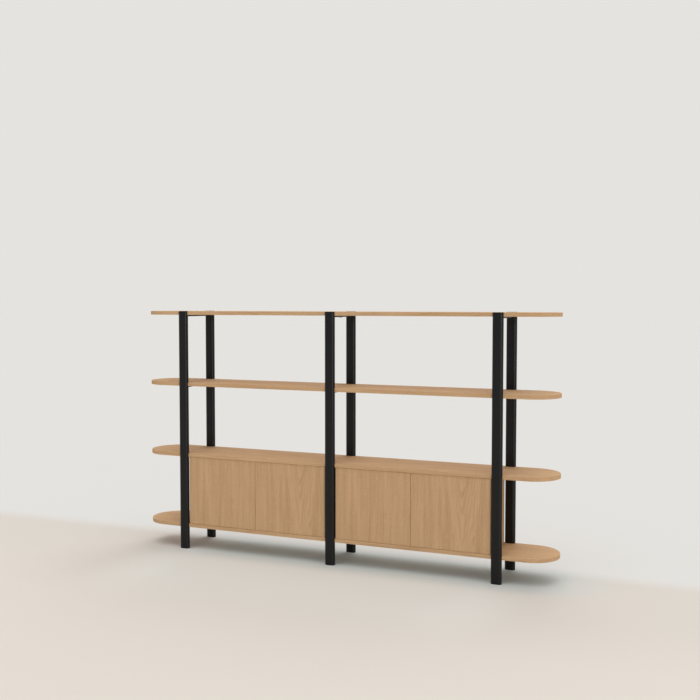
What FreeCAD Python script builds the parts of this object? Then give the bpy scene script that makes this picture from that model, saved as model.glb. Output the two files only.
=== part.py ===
"""Long, low shelving unit: four round-ended oak boards carried by three black ladder frames.

Each ladder frame is two flat-oval steel posts, front and rear, joined under every board by a flat
crossbar. Between the two lowest boards each bay holds a cabinet with a pair of pivot-hung doors.

Millimetres. X runs along the unit, Y from front to rear, Z up. The origin is on the floor, under the
middle of the unit.
"""
import FreeCAD
import Part
import math
import os

# The unit
UNIT_HEIGHT = 1220.0          # floor to the top of the post caps
BAY_PITCH = 819.0             # post centre to post centre along the unit

# Posts: flat-oval steel tube, its flats facing front and rear
POST_WIDTH = 50.0
POST_DEPTH = 30.0
POST_WALL = 2.0

# Plastic caps and floor glides, each a plate with a plug that wedges between the tube's flats
CAP_PLATE = 2.0
GLIDE_PLATE = 3.0
PLUG_LENGTH = 14.0
PLUG_CLEARANCE = 0.1

# Boards
SHELF_DEPTH = 262.0
SHELF_THICKNESS = 18.0
SHELF_OVERHANG = 258.0        # from the centre of the end posts to the tip of a board
SHELF_EDGE_MARGIN = 2.0       # from the centre of a post out to the board's long edge
CAP_STEP = 1.0                # caps stand this far above the top board
FLOOR_CLEARANCE = 110.5       # under the bottom board
NOTCH_CLEARANCE = 0.4         # between a board and the posts it is notched round

# Crossbars, as wide as the flat of a post
CROSSBAR_THICKNESS = 8.0

# Hex-headed coach screws, up through the crossbars of the middle frame into each board
SHELF_SCREW_LENGTH = 20.0     # under the head
SHELF_SCREW_RADIUS = 3.0
SHELF_SCREW_HEAD_HEIGHT = 4.0
SHELF_SCREW_HEAD_FLATS = 10.0
HEAD_SIDES = 6

# Cabinet carcase
SIDE_THICKNESS = 16.0
SIDE_POST_CLEARANCE = 1.0     # between a side panel and the posts beside it
SIDE_REAR_INSET = 15.0        # side panel's rear edge ahead of the boards' rear edges
BACK_THICKNESS = 6.0
BACK_INSET = 4.0              # back panel ahead of the sides' rear edges
GROOVE_DEPTH = 6.0
GROOVE_CLEARANCE = 0.15
TONGUE_THICKNESS = 6.0        # loose tongues join the side panels to the boards
TONGUE_HEIGHT = 16.0
TONGUE_END_INSET = 38.0       # tongue's end from the side panel's front or rear edge

# Doors
DOOR_THICKNESS = 18.0
DOOR_RECESS = 3.0             # door face behind the boards' front edges
DOOR_MEETING_GAP = 1.5
PIVOT_INSET = 7.0             # pivot axis from the door's hung edge
SWING_CLEARANCE = 1.0         # kept by the swinging edge from the posts
SIDE_SWING_CLEARANCE = 0.6    # kept by the swinging edge from the side panels

# Pivot pins, square in the door and round in the bush, and the bush blocks let into the boards
PIN_RADIUS = 3.0
PIN_IN_DOOR = 20.0
PIN_IN_BUSH = 9.0
BUSH_SIDE = 10.0
BUSH_IN_BOARD = 10.0
BUSH_RIM = 0.8                # the block stands this proud and spaces the door off the board
PIVOT_END_CLEARANCE = 0.2     # between a door's edge and the rim of its bush
RUNNING_CLEARANCE = 0.05      # between a pin and its bush

# Double touch catch over each pair of doors, pegged into the board above it
CATCH_WIDTH = 46.0
CATCH_LENGTH = 62.0
CATCH_HEIGHT = 16.0
CATCH_PEG_WIDTH = 30.0
CATCH_PEG_LENGTH = 20.0
CATCH_PEG_HEIGHT = 8.0
PLUNGER_SPREAD = 24.0         # between the two plungers of a catch
PLUNGER_SIDE = 8.0
PLUNGER_LENGTH = 44.0
PLUNGER_TRAVEL = 3.0
PLUNGER_REST_PROUD = 0.8      # a pressed plunger still stands this far out
PLUNGER_CLEARANCE = 0.1
TIP_CLEARANCE = 0.2           # between a plunger and the strike plate of the closed door
STRIKE_WIDTH = 18.0
STRIKE_HEIGHT = 12.0
STRIKE_THICKNESS = 1.5

# Fits and cuts
FIT_CLEARANCE = 0.05          # round a pressed or screwed-in piece
HOLE_END_CLEARANCE = 0.5      # beyond the end of a pin, screw or tongue
OVERRUN = 5.0                 # cutting tools run this far past a face

# Places that follow from the sizes above
SHELF_LENGTH = 2 * (BAY_PITCH + SHELF_OVERHANG)
ROW_PITCH = SHELF_DEPTH - 2 * SHELF_EDGE_MARGIN
COLUMN_X = {"left": -BAY_PITCH, "middle": 0.0, "right": BAY_PITCH}
SCREWED_COLUMN = "middle"
ROW_Y = {"front": -ROW_PITCH / 2, "rear": ROW_PITCH / 2}
BAY_X = {"left": -BAY_PITCH / 2, "right": BAY_PITCH / 2}
LEVELS = ("bottom", "lower", "upper", "top")
SHELF_PITCH = (UNIT_HEIGHT - CAP_STEP - SHELF_THICKNESS - FLOOR_CLEARANCE) / (len(LEVELS) - 1)
SHELF_TOP_Z = {
    level: FLOOR_CLEARANCE + SHELF_THICKNESS + SHELF_PITCH * step for step, level in enumerate(LEVELS)
}
POST_FLAT = POST_WIDTH - POST_DEPTH
POST_ROUND = POST_DEPTH / 2
CROSSBAR_LENGTH = ROW_PITCH - POST_DEPTH

CABINET_FLOOR_Z = SHELF_TOP_Z["bottom"]
CABINET_ROOF_Z = SHELF_TOP_Z["lower"] - SHELF_THICKNESS
# The board faces below and above the cabinets, each with the way into its board: -1 down, +1 up.
CABINET_FACES = ((CABINET_FLOOR_Z, -1), (CABINET_ROOF_Z, 1))

DOOR_FACE_Y = -SHELF_DEPTH / 2 + DOOR_RECESS
DOOR_BACK_Y = DOOR_FACE_Y + DOOR_THICKNESS
DOOR_END_GAP = BUSH_RIM + PIVOT_END_CLEARANCE
PIVOT_Y = (DOOR_FACE_Y + DOOR_BACK_Y) / 2
SWING_RADIUS = math.hypot(PIVOT_INSET, DOOR_THICKNESS / 2)
# The hung edge turns clear of the post's round side, so the pivot stands that far off its centre.
PIVOT_REACH = POST_ROUND + SWING_RADIUS + SWING_CLEARANCE
PIVOT_OFFSET = POST_FLAT / 2 + math.sqrt(PIVOT_REACH ** 2 - (PIVOT_Y - ROW_Y["front"]) ** 2)
DOOR_HUNG_OFFSET = PIVOT_OFFSET - PIVOT_INSET
DOOR_WIDTH = BAY_PITCH / 2 - DOOR_HUNG_OFFSET - DOOR_MEETING_GAP / 2

SIDE_FRONT_Y = PIVOT_Y + SWING_RADIUS + SIDE_SWING_CLEARANCE
SIDE_REAR_Y = SHELF_DEPTH / 2 - SIDE_REAR_INSET
SIDE_OFFSET = POST_WIDTH / 2 + SIDE_POST_CLEARANCE
BACK_REAR_Y = SIDE_REAR_Y - BACK_INSET

PLUNGER_TIP_Y = DOOR_BACK_Y + STRIKE_THICKNESS + TIP_CLEARANCE
CATCH_FRONT_Y = PLUNGER_TIP_Y + PLUNGER_TRAVEL + PLUNGER_REST_PROUD
PLUNGER_Z = CABINET_ROOF_Z - CATCH_HEIGHT / 2

Z_AXIS = FreeCAD.Vector(0, 0, 1)

# A door of a bay hangs on the post at its own side: -1 for the left one, +1 for the right one.
HANDS = {"left": -1, "right": 1}
DOORS = [(bay, hand) for bay in BAY_X for hand in HANDS]


def point(x, y, z):
    """A place in the unit's frame."""
    return FreeCAD.Vector(x, y, z)


def block(x_span, y_span, z_span):
    """A box between two values on each axis, given in any order."""
    spans = [sorted(span) for span in (x_span, y_span, z_span)]
    sizes = [high - low for low, high in spans]
    return Part.makeBox(*sizes, point(*[low for low, high in spans]))


def square_bar(side, x, y, z_span):
    """An upright square bar round a plan point."""
    half = side / 2
    return block((x - half, x + half), (y - half, y + half), z_span)


def rod(radius, x, y, z_span):
    """An upright round bar round a plan point."""
    low, high = sorted(z_span)
    return Part.makeCylinder(radius, high - low, point(x, y, low))


def flat_oval(width, depth, x, y, z_span):
    """An upright prism whose plan is a rectangle with a half circle on its left and right sides."""
    radius = depth / 2
    half_flat = width / 2 - radius
    low, high = z_span
    corners = [
        point(x + sign_x * half_flat, y + sign_y * radius, low)
        for sign_x, sign_y in ((-1, -1), (1, -1), (1, 1), (-1, 1))
    ]
    right_end = point(x + half_flat + radius, y, low)
    left_end = point(x - half_flat - radius, y, low)
    outline = Part.Wire([
        Part.LineSegment(corners[0], corners[1]).toShape(),
        Part.Arc(corners[1], right_end, corners[2]).toShape(),
        Part.LineSegment(corners[2], corners[3]).toShape(),
        Part.Arc(corners[3], left_end, corners[0]).toShape(),
    ])
    return Part.Face(outline).extrude(point(0, 0, high - low))


def cut_all(shape, tools):
    """A shape with every tool cut out of it."""
    return shape.cut(Part.makeCompound(tools))


def post(column, row):
    """A flat-oval tube from the glide under it to the cap on it."""
    place = (COLUMN_X[column], ROW_Y[row])
    span = (GLIDE_PLATE, UNIT_HEIGHT - CAP_PLATE)
    outside = flat_oval(POST_WIDTH, POST_DEPTH, *place, span)
    bore_span = (span[0] - OVERRUN, span[1] + OVERRUN)
    bore = flat_oval(POST_WIDTH - 2 * POST_WALL, POST_DEPTH - 2 * POST_WALL, *place, bore_span)
    return outside.cut(bore)


def plugged_plate(x, y, plate_span, plug_span):
    """A plate as large as the tube, on a block that wedges between the tube's front and rear flats."""
    half_depth = POST_DEPTH / 2 - POST_WALL - PLUG_CLEARANCE
    half_width = POST_FLAT / 2
    plug = block((x - half_width, x + half_width), (y - half_depth, y + half_depth), plug_span)
    return flat_oval(POST_WIDTH, POST_DEPTH, x, y, plate_span).fuse(plug)


def post_cap(x, y):
    """The cap that closes the top of a post."""
    seat = UNIT_HEIGHT - CAP_PLATE
    return plugged_plate(x, y, (seat, UNIT_HEIGHT), (seat - PLUG_LENGTH, seat))


def floor_glide(x, y):
    """The glide under a post."""
    return plugged_plate(x, y, (0, GLIDE_PLATE), (GLIDE_PLATE, GLIDE_PLATE + PLUG_LENGTH))


def coach_screw(x, z):
    """A screw driven upwards on the unit's centre line, its six-sided head under the face at z."""
    corner_radius = SHELF_SCREW_HEAD_FLATS / 2 / math.cos(math.pi / HEAD_SIDES)
    turns = [2 * math.pi * corner / HEAD_SIDES for corner in range(HEAD_SIDES + 1)]
    base = z - SHELF_SCREW_HEAD_HEIGHT
    corners = [point(x + corner_radius * math.cos(t), corner_radius * math.sin(t), base) for t in turns]
    head = Part.Face(Part.makePolygon(corners)).extrude(point(0, 0, SHELF_SCREW_HEAD_HEIGHT))
    return head.fuse(rod(SHELF_SCREW_RADIUS, x, 0, (z, z + SHELF_SCREW_LENGTH)))


def crossbar_span(level):
    """Heights of the lower and upper faces of a crossbar under a board."""
    top = SHELF_TOP_Z[level] - SHELF_THICKNESS
    return (top - CROSSBAR_THICKNESS, top)


def screw_hole(column, z_span):
    """The hole for a coach screw, on the centre line of a frame."""
    return rod(SHELF_SCREW_RADIUS + FIT_CLEARANCE, COLUMN_X[column], 0, z_span)


def crossbar(column, level):
    """A flat bar from the front post's flat to the rear post's flat; the middle ones are drilled."""
    x = COLUMN_X[column]
    span = crossbar_span(level)
    half_length = CROSSBAR_LENGTH / 2
    bar = block((x - POST_FLAT / 2, x + POST_FLAT / 2), (-half_length, half_length), span)
    if column == SCREWED_COLUMN:
        return bar.cut(screw_hole(column, (span[0] - OVERRUN, span[1] + OVERRUN)))
    return bar


def pivot_places():
    """Plan place of each door's pivots."""
    places = {}
    for bay, hand in DOORS:
        edge_x = BAY_X[bay] + HANDS[hand] * BAY_PITCH / 2
        places[bay, hand] = (edge_x - HANDS[hand] * PIVOT_OFFSET, PIVOT_Y)
    return places


def side_panel_places():
    """Inner and outer X of each cabinet side panel."""
    places = {}
    for bay, hand in DOORS:
        edge_x = BAY_X[bay] + HANDS[hand] * BAY_PITCH / 2
        outer = edge_x - HANDS[hand] * SIDE_OFFSET
        places[bay, hand] = (outer - HANDS[hand] * SIDE_THICKNESS, outer)
    return places


def tongue(bay, hand, face, clearance=0):
    """A loose tongue, half in a side panel and half in the board at face; with a clearance, its slot."""
    middle = sum(side_panel_places()[bay, hand]) / 2
    half_thickness = TONGUE_THICKNESS / 2 + clearance
    half_height = (TONGUE_HEIGHT + (HOLE_END_CLEARANCE if clearance else 0)) / 2
    front = SIDE_FRONT_Y + TONGUE_END_INSET - clearance
    rear = SIDE_REAR_Y - TONGUE_END_INSET + clearance
    return block(
        (middle - half_thickness, middle + half_thickness), (front, rear),
        (face - half_height, face + half_height),
    )


def cabinet_slots(face, inward):
    """What a board's face is cut away for: tongues and bushes; inward is the way into the board."""
    span = (face - inward * OVERRUN, face + inward * (BUSH_IN_BOARD + HOLE_END_CLEARANCE))
    pocket_side = BUSH_SIDE + 2 * FIT_CLEARANCE
    pockets = [square_bar(pocket_side, x, y, span) for x, y in pivot_places().values()]
    return pockets + [tongue(bay, hand, face, FIT_CLEARANCE) for bay, hand in DOORS]


def shelf(level):
    """A board with round ends, notched round all six posts, with the holes its fittings need."""
    top = SHELF_TOP_Z[level]
    bottom = top - SHELF_THICKNESS
    board = flat_oval(SHELF_LENGTH, SHELF_DEPTH, 0, 0, (bottom, top))
    notch_size = (POST_WIDTH + 2 * NOTCH_CLEARANCE, POST_DEPTH + 2 * NOTCH_CLEARANCE)
    notch_span = (bottom - OVERRUN, top + OVERRUN)
    tools = [flat_oval(*notch_size, x, y, notch_span) for x in COLUMN_X.values() for y in ROW_Y.values()]
    bite = SHELF_SCREW_LENGTH - CROSSBAR_THICKNESS + HOLE_END_CLEARANCE
    tools.append(screw_hole(SCREWED_COLUMN, (bottom - OVERRUN, bottom + bite)))
    if level == "lower":
        tools += cabinet_slots(bottom, 1)
        tools += [catch_peg(bay, FIT_CLEARANCE) for bay in BAY_X]
    if level == "bottom":
        tools += cabinet_slots(top, -1)
    return cut_all(board, tools)


def side_panel(bay, hand):
    """A cabinet side between two boards, grooved for the back panel and slotted for its tongues."""
    inner, outer = side_panel_places()[bay, hand]
    span = (CABINET_FLOOR_Z, CABINET_ROOF_Z)
    panel = block((inner, outer), (SIDE_FRONT_Y, SIDE_REAR_Y), span)
    groove = block(
        (inner - HANDS[hand] * OVERRUN, inner + HANDS[hand] * (GROOVE_DEPTH + GROOVE_CLEARANCE)),
        (BACK_REAR_Y + GROOVE_CLEARANCE, BACK_REAR_Y - BACK_THICKNESS - GROOVE_CLEARANCE),
        (span[0] - OVERRUN, span[1] + OVERRUN),
    )
    slots = [tongue(bay, hand, face, FIT_CLEARANCE) for face in span]
    return cut_all(panel, [groove] + slots)


def back_panel(bay):
    """The back of a cabinet, held in the grooves of its two side panels."""
    panels = side_panel_places()
    left = panels[bay, "left"][0] - GROOVE_DEPTH
    right = panels[bay, "right"][0] + GROOVE_DEPTH
    span = (CABINET_FLOOR_Z, CABINET_ROOF_Z)
    return block((left, right), (BACK_REAR_Y - BACK_THICKNESS, BACK_REAR_Y), span)


def door(bay, hand):
    """A door leaf, mortised at top and bottom for the square shanks of its pivot pins."""
    side = HANDS[hand]
    hung_x = BAY_X[bay] + side * (BAY_PITCH / 2 - DOOR_HUNG_OFFSET)
    low, high = CABINET_FLOOR_Z + DOOR_END_GAP, CABINET_ROOF_Z - DOOR_END_GAP
    leaf = block((hung_x, hung_x - side * DOOR_WIDTH), (DOOR_FACE_Y, DOOR_BACK_Y), (low, high))
    x, y = pivot_places()[bay, hand]
    bite = PIN_IN_DOOR + HOLE_END_CLEARANCE
    mortise_side = 2 * (PIN_RADIUS + FIT_CLEARANCE)
    return cut_all(leaf, [
        square_bar(mortise_side, x, y, (low - OVERRUN, low + bite)),
        square_bar(mortise_side, x, y, (high + OVERRUN, high - bite)),
    ])


def pivot_pin(x, y, face, inward):
    """A pin, round in the bush and square in the door; inward is the way into the board at face."""
    edge = face - inward * DOOR_END_GAP
    journal = rod(PIN_RADIUS, x, y, (edge, face + inward * PIN_IN_BUSH))
    shank = square_bar(2 * PIN_RADIUS, x, y, (edge, edge - inward * PIN_IN_DOOR))
    return shank.fuse(journal)


def pivot_bush(x, y, face, inward):
    """A block let into a board's face, standing a little proud of it and bored for a pin."""
    rim = face - inward * BUSH_RIM
    body = square_bar(BUSH_SIDE, x, y, (rim, face + inward * BUSH_IN_BOARD))
    bore_end = face + inward * (PIN_IN_BUSH + HOLE_END_CLEARANCE)
    return body.cut(rod(PIN_RADIUS + RUNNING_CLEARANCE, x, y, (rim - inward * OVERRUN, bore_end)))


def plunger_places():
    """X of the plunger that works each door."""
    return {
        (bay, hand): BAY_X[bay] + HANDS[hand] * PLUNGER_SPREAD / 2 for bay, hand in DOORS
    }


def catch_peg(bay, clearance=0):
    """The peg that holds a catch in the board above it; with a clearance, its mortise."""
    half_width = CATCH_PEG_WIDTH / 2 + clearance
    half_length = CATCH_PEG_LENGTH / 2 + clearance
    middle_y = CATCH_FRONT_Y + CATCH_LENGTH / 2
    height = CATCH_PEG_HEIGHT + (HOLE_END_CLEARANCE if clearance else 0)
    return block(
        (BAY_X[bay] - half_width, BAY_X[bay] + half_width),
        (middle_y - half_length, middle_y + half_length),
        (CABINET_ROOF_Z, CABINET_ROOF_Z + height),
    )


def plunger(bay, hand, y_span, clearance=0):
    """A plunger between two depths; with a clearance, the bore that it slides in."""
    x = plunger_places()[bay, hand]
    half = PLUNGER_SIDE / 2 + clearance
    return block((x - half, x + half), y_span, (PLUNGER_Z - half, PLUNGER_Z + half))


def catch_housing(bay):
    """A double catch: a body with two plunger bores, and the peg on top of it."""
    x = BAY_X[bay]
    body = block(
        (x - CATCH_WIDTH / 2, x + CATCH_WIDTH / 2), (CATCH_FRONT_Y, CATCH_FRONT_Y + CATCH_LENGTH),
        (CABINET_ROOF_Z - CATCH_HEIGHT, CABINET_ROOF_Z),
    )
    bore_end = PLUNGER_TIP_Y + PLUNGER_LENGTH + PLUNGER_TRAVEL + HOLE_END_CLEARANCE
    bore_span = (CATCH_FRONT_Y - OVERRUN, bore_end)
    bores = [plunger(bay, hand, bore_span, PLUNGER_CLEARANCE) for hand in HANDS]
    return cut_all(body.fuse(catch_peg(bay)), bores)


def strike_plate(bay, hand):
    """The steel plate on a door's back that its plunger meets."""
    x = plunger_places()[bay, hand]
    return block(
        (x - STRIKE_WIDTH / 2, x + STRIKE_WIDTH / 2), (DOOR_BACK_Y, DOOR_BACK_Y + STRIKE_THICKNESS),
        (PLUNGER_Z - STRIKE_HEIGHT / 2, PLUNGER_Z + STRIKE_HEIGHT / 2),
    )


def frame_parts():
    """Posts, caps, glides and crossbars of the three ladder frames."""
    parts = {}
    for column, x in COLUMN_X.items():
        for row in ROW_Y:
            parts[f"post_{row}_{column}"] = [post(column, row)]
        parts[f"post_caps_{column}"] = [post_cap(x, y) for y in ROW_Y.values()]
        parts[f"floor_glides_{column}"] = [floor_glide(x, y) for y in ROW_Y.values()]
        for level in LEVELS:
            parts[f"crossbar_{level}_{column}"] = [crossbar(column, level)]
    return parts


def shelf_parts():
    """The four boards and the screws that hold them."""
    parts = {f"shelf_{level}": [shelf(level)] for level in LEVELS}
    parts["shelf_screws"] = [
        coach_screw(COLUMN_X[SCREWED_COLUMN], crossbar_span(level)[0]) for level in LEVELS
    ]
    return parts


def cabinet_parts():
    """The carcases of the two cabinets, with their catches and bushes."""
    parts = {}
    for bay, hand in DOORS:
        parts[f"cabinet_side_{bay}_bay_{hand}"] = [side_panel(bay, hand)]
    for bay in BAY_X:
        parts[f"cabinet_back_{bay}_bay"] = [back_panel(bay)]
        parts[f"catch_housing_{bay}_bay"] = [catch_housing(bay)]
    parts["cabinet_tongues"] = [
        tongue(bay, hand, face) for bay, hand in DOORS for face, inward in CABINET_FACES
    ]
    parts["pivot_bushes"] = [
        pivot_bush(x, y, face, inward)
        for x, y in pivot_places().values()
        for face, inward in CABINET_FACES
    ]
    return parts


def door_parts():
    """Each door with its pins and strike plate, and the plunger that it meets."""
    parts = {}
    for bay, hand in DOORS:
        name = f"{bay}_bay_{hand}"
        parts[f"door_{name}"] = [door(bay, hand)]
        parts[f"pivot_pins_{name}"] = [
            pivot_pin(*pivot_places()[bay, hand], face, inward) for face, inward in CABINET_FACES
        ]
        parts[f"strike_plate_{name}"] = [strike_plate(bay, hand)]
        parts[f"catch_plunger_{name}"] = [
            plunger(bay, hand, (PLUNGER_TIP_Y, PLUNGER_TIP_Y + PLUNGER_LENGTH))
        ]
    return parts


def main():
    """Writes every sub-part to its own STEP file."""
    os.makedirs("parts", exist_ok=True)
    parts = {**frame_parts(), **shelf_parts(), **cabinet_parts(), **door_parts()}
    for name, solids in parts.items():
        shape = solids[0] if len(solids) == 1 else Part.makeCompound(solids)
        if not shape.isValid() or len(shape.Solids) != len(solids):
            raise ValueError(f"{name} did not build as {len(solids)} whole solids")
        shape.exportStep(f"parts/{name}.step")
    print(len(parts), "sub-parts written")
    print("door pivots", round(PIVOT_OFFSET, 3), "from their post's centre; doors", round(DOOR_WIDTH, 3), "wide")


main()
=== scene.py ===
"""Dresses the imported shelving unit: oiled oak boards and doors on black powder-coated ladder frames."""

import logging
import math
from dataclasses import dataclass, field
from enum import Enum
from typing import NamedTuple, Self

import bmesh
import bpy
import numpy as np
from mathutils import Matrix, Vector
from mathutils.geometry import delaunay_2d_cdt


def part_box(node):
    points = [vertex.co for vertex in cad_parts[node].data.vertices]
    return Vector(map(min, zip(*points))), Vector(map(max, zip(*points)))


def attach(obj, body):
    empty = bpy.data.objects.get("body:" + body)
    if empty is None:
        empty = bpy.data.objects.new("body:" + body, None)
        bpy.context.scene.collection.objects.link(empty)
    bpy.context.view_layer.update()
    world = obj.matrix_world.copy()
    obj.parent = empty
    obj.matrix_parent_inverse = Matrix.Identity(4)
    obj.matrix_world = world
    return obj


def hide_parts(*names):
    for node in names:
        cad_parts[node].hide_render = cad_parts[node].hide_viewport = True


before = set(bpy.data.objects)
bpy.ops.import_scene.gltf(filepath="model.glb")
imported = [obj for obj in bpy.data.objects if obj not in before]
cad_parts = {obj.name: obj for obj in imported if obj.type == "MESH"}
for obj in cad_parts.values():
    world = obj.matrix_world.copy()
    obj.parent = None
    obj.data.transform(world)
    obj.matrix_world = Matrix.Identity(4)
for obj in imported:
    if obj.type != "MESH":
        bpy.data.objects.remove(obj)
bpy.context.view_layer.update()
LOG = logging.getLogger("shelving_unit")

Colour = tuple[float, float, float, float]
Triple = tuple[float, float, float]
Place = tuple[float, float]
Socket = bpy.types.NodeSocket
Inputs = dict[str | int, object]  # a socket, number or colour for each input, by its name or number

# Names that the frame uses
COLUMNS = ("left", "middle", "right")
SCREWED_COLUMN = "middle"
ROWS = ("front", "rear")
LEVELS = ("top", "upper", "lower", "bottom")
CABINET_FLOOR, CABINET_ROOF = "bottom", "lower"
BAYS = ("left", "right")
HANDS = ("left", "right")
DOOR_PLACES = tuple(f"{bay}_bay_{hand}" for bay in BAYS for hand in HANDS)
FRAME_BODY = "frame"

MILLIMETRE = 0.001
WELD_DISTANCE = MILLIMETRE / 1000
SHARP_EDGE = math.radians(32)
FULL_TURN = 2 * math.pi
FIT = 0.05 * MILLIMETRE
HOLE_END_ROOM = 0.5 * MILLIMETRE
CORNER_TO_EASE = 1.5  # a corner in plan is rounder than the rims, which are drawn in from it
BROAD_FACES_LEAD = 100  # the weight at which broad flat faces set the shading of the rims beside them


def tint(red: int, green: int, blue: int) -> Colour:
    """Turns a screen colour from 0 to 255 into the linear values that shaders take.

    Args:
        red, green, blue: the screen colour's parts.

    Returns:
        Linear red, green and blue, and an alpha of one.
    """
    screen = np.array([red, green, blue]) / 255
    linear = np.where(screen <= 0.04045, screen / 12.92, ((screen + 0.055) / 1.055) ** 2.4)
    return (*[float(part) for part in linear], 1.0)


# Outlines


def arc(centre: Place, radius: float, start: float, end: float, steps: int) -> np.ndarray:
    """Points on a circle: centre + radius (cos a, sin a), with a running evenly from start to end.

    Args:
        centre: the circle's centre.
        radius: its radius.
        start, end: the first and last angle, in radians.
        steps: how many chords the arc has.

    Returns:
        An array of steps + 1 plan points.
    """
    angle = np.linspace(start, end, steps + 1)
    return np.array(centre) + radius * np.stack([np.cos(angle), np.sin(angle)], axis=1)


def disc(centre: Place, radius: float, steps: int = 32) -> np.ndarray:
    """A whole circle, as a closed outline."""
    return arc(centre, radius, 0.0, FULL_TURN, steps)[:-1]


def flat_oval(centre: Place, size: Place, steps: int = 24) -> np.ndarray:
    """A counter-clockwise outline of two half circles of radius depth / 2, joined by straight runs.

    Args:
        centre: the oval's centre.
        size: its overall width and depth.
        steps: chords in each half circle.

    Returns:
        The outline's plan points.
    """
    radius = size[1] / 2
    reach = size[0] / 2 - radius
    right = arc((centre[0] + reach, centre[1]), radius, -math.pi / 2, math.pi / 2, steps)
    left = arc((centre[0] - reach, centre[1]), radius, math.pi / 2, 3 * math.pi / 2, steps)
    return np.concatenate([right, left])


def round_rectangle(low: Place, high: Place, radius: float, steps: int = 4) -> np.ndarray:
    """A counter-clockwise rectangle whose corners are quarter circles.

    Args:
        low, high: two opposite corners.
        radius: of each rounded corner.
        steps: chords in each corner.

    Returns:
        The outline's plan points.
    """
    left, right = low[0] + radius, high[0] - radius
    near, far = low[1] + radius, high[1] - radius
    quarter = math.pi / 2
    return np.concatenate([
        arc(centre, radius, (turn - 1) * quarter, turn * quarter, steps)
        for turn, centre in enumerate(((right, near), (right, far), (left, far), (left, near)))
    ])


def oblong(centre: Place, size: Place, radius: float, clearance: float = 0.0) -> np.ndarray:
    """A rectangle with rounded corners round a centre, with a clearance added on every side."""
    middle, half = np.array(centre[:2]), np.array(size[:2]) / 2 + clearance
    return round_rectangle(middle - half, middle + half, radius)


def cross(centre: Place, reach: float, half_arm: float) -> np.ndarray:
    """A plus sign: eight corners a reach and half an arm's width out, with four inner corners between.

    Args:
        centre: the sign's centre.
        reach: from there to the arms' ends.
        half_arm: half the arms' width.

    Returns:
        The outline's plan points.
    """
    corner = np.array([(reach, -half_arm), (reach, half_arm), (half_arm, half_arm)])
    turns = [np.array([[c, s], [-s, c]]) for c, s in ((1, 0), (0, 1), (-1, 0), (0, -1))]
    return np.array(centre) + np.concatenate([corner @ turn for turn in turns])


def outward(outline: np.ndarray) -> np.ndarray:
    """Mitre vectors of a closed outline: the sum of the two edge normals over one plus their product.

    Args:
        outline: counter-clockwise plan points.

    Returns:
        One vector for each point, along which a shift of one moves both edges by one.
    """
    ahead = np.roll(outline, -1, axis=0) - outline
    ahead /= np.linalg.norm(ahead, axis=1, keepdims=True)
    normal = np.stack([ahead[:, 1], -ahead[:, 0]], axis=1)
    before = np.roll(normal, 1, axis=0)
    return (normal + before) / (1 + np.sum(normal * before, axis=1, keepdims=True))


def quarter_round(radius: float, steps: int = 3) -> tuple[np.ndarray, np.ndarray]:
    """A rim's section: it draws in by radius (1 - cos a) where it rises radius sin a, up to a right angle."""
    angle = np.linspace(0, math.pi / 2, steps + 1)
    return radius * (1 - np.cos(angle)), radius * np.sin(angle)


def inside(points: np.ndarray, start: np.ndarray, end: np.ndarray) -> np.ndarray:
    """Tells which points lie inside an odd number of closed outlines.

    A line along x from such a point crosses an odd number of edges. An edge is crossed where its
    ends lie above and below the point and it passes on the far side.

    Args:
        points: the plan points to test.
        start, end: the edges' ends.

    Returns:
        A truth value for each point.
    """
    across, up = (points[:, None] - start)[..., 0], (points[:, None] - start)[..., 1]
    run, rise = (end - start).T
    spans = (up < 0) != (up < rise)
    beyond = (up * run - across * rise > 0) == (rise > 0)
    return np.sum(spans & beyond, axis=1) % 2 == 1


# Solids


class Axis(Enum):
    """The way a slab is extruded; its value says which slab axis feeds x, y and z."""

    Y = (1, 2, 0)
    Z = (0, 1, 2)


@dataclass
class Hole:
    """A straight-walled hole in an end face of a slab; without a depth it runs right through."""

    outline: np.ndarray
    depth: float | None = None
    on_top: bool = True


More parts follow.
